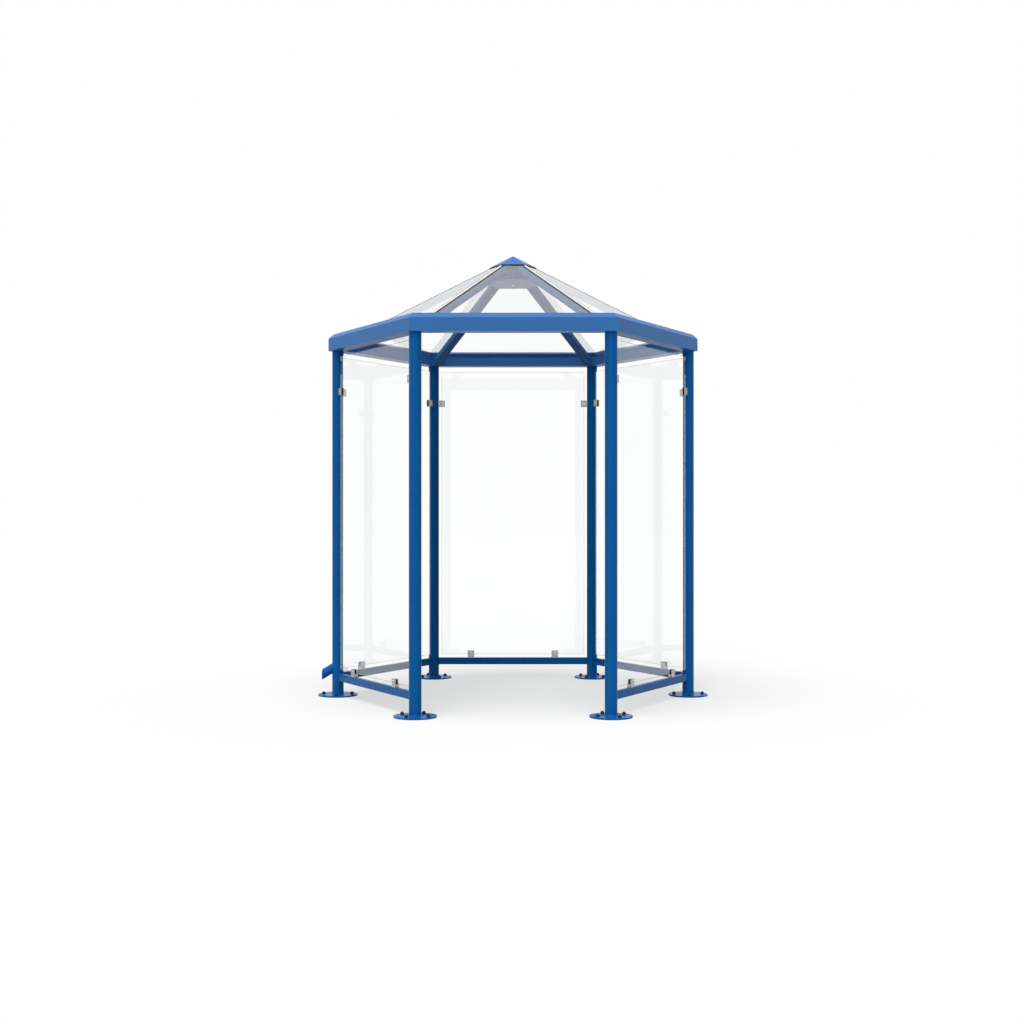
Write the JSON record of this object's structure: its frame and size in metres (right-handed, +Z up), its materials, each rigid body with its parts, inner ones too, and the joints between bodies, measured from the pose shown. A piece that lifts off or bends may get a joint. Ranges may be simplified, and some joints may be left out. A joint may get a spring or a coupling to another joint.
{
  "type": "smoking shelter",
  "caption": "Hexagonal smoking shelter with blue tubular steel posts, clamped glass walls, an open front, a gutter ring and a glass pyramid roof.",
  "frame": {"origin": "on the ground at the middle of the hexagonal plan", "axes": "+Z up, +Y from the open front towards the back wall, +X to the right seen from the open front"},
  "size_m": [2.6, 2.2862, 2.935],
  "materials": {
    "blue_steel": "gloss",
    "stainless": "satin",
    "clear_glass": "clear polished",
    "black_rubber": "matt",
    "black_plastic": "satin",
    "white_silicone": "satin"
  },
  "bodies": {
    "root": {"post_front_left": "blue_steel", "post_front_right": "blue_steel", "post_mid_right": "blue_steel", "post_back_right": "blue_steel", "post_back_left": "blue_steel", "post_mid_left": "blue_steel", "anchor_covers": "black_plastic", "rail_front_left": "blue_steel", "rail_back_left": "blue_steel", "rail_back": "blue_steel", "rail_back_right": "blue_steel", "rail_front_right": "blue_steel", "wall_glass_front_left": "clear_glass", "wall_glass_back_left": "clear_glass", "wall_glass_back": "clear_glass", "wall_glass_back_right": "clear_glass", "wall_glass_front_right": "clear_glass", "post_clamps": "stainless", "rail_clamps": "stainless", "clamp_liners": "black_rubber", "gutter_front": "blue_steel", "gutter_front_left": "blue_steel", "gutter_back_left": "blue_steel", "gutter_back": "blue_steel", "gutter_back_right": "blue_steel", "gutter_front_right": "blue_steel", "rafter_front_left": "blue_steel", "rafter_front_right": "blue_steel", "rafter_mid_right": "blue_steel", "rafter_back_right": "blue_steel", "rafter_back_left": "blue_steel", "rafter_mid_left": "blue_steel", "rafter_gaskets": "black_rubber", "roof_glass_front": "clear_glass", "roof_glass_front_left": "clear_glass", "roof_glass_back_left": "clear_glass", "roof_glass_back": "clear_glass", "roof_glass_back_right": "clear_glass", "roof_glass_front_right": "clear_glass", "hub": "blue_steel", "hub_plate": "blue_steel", "apex_seal": "black_rubber", "apex_cap": "blue_steel", "drain_spout": "blue_steel"}
  },
  "joints": []
}
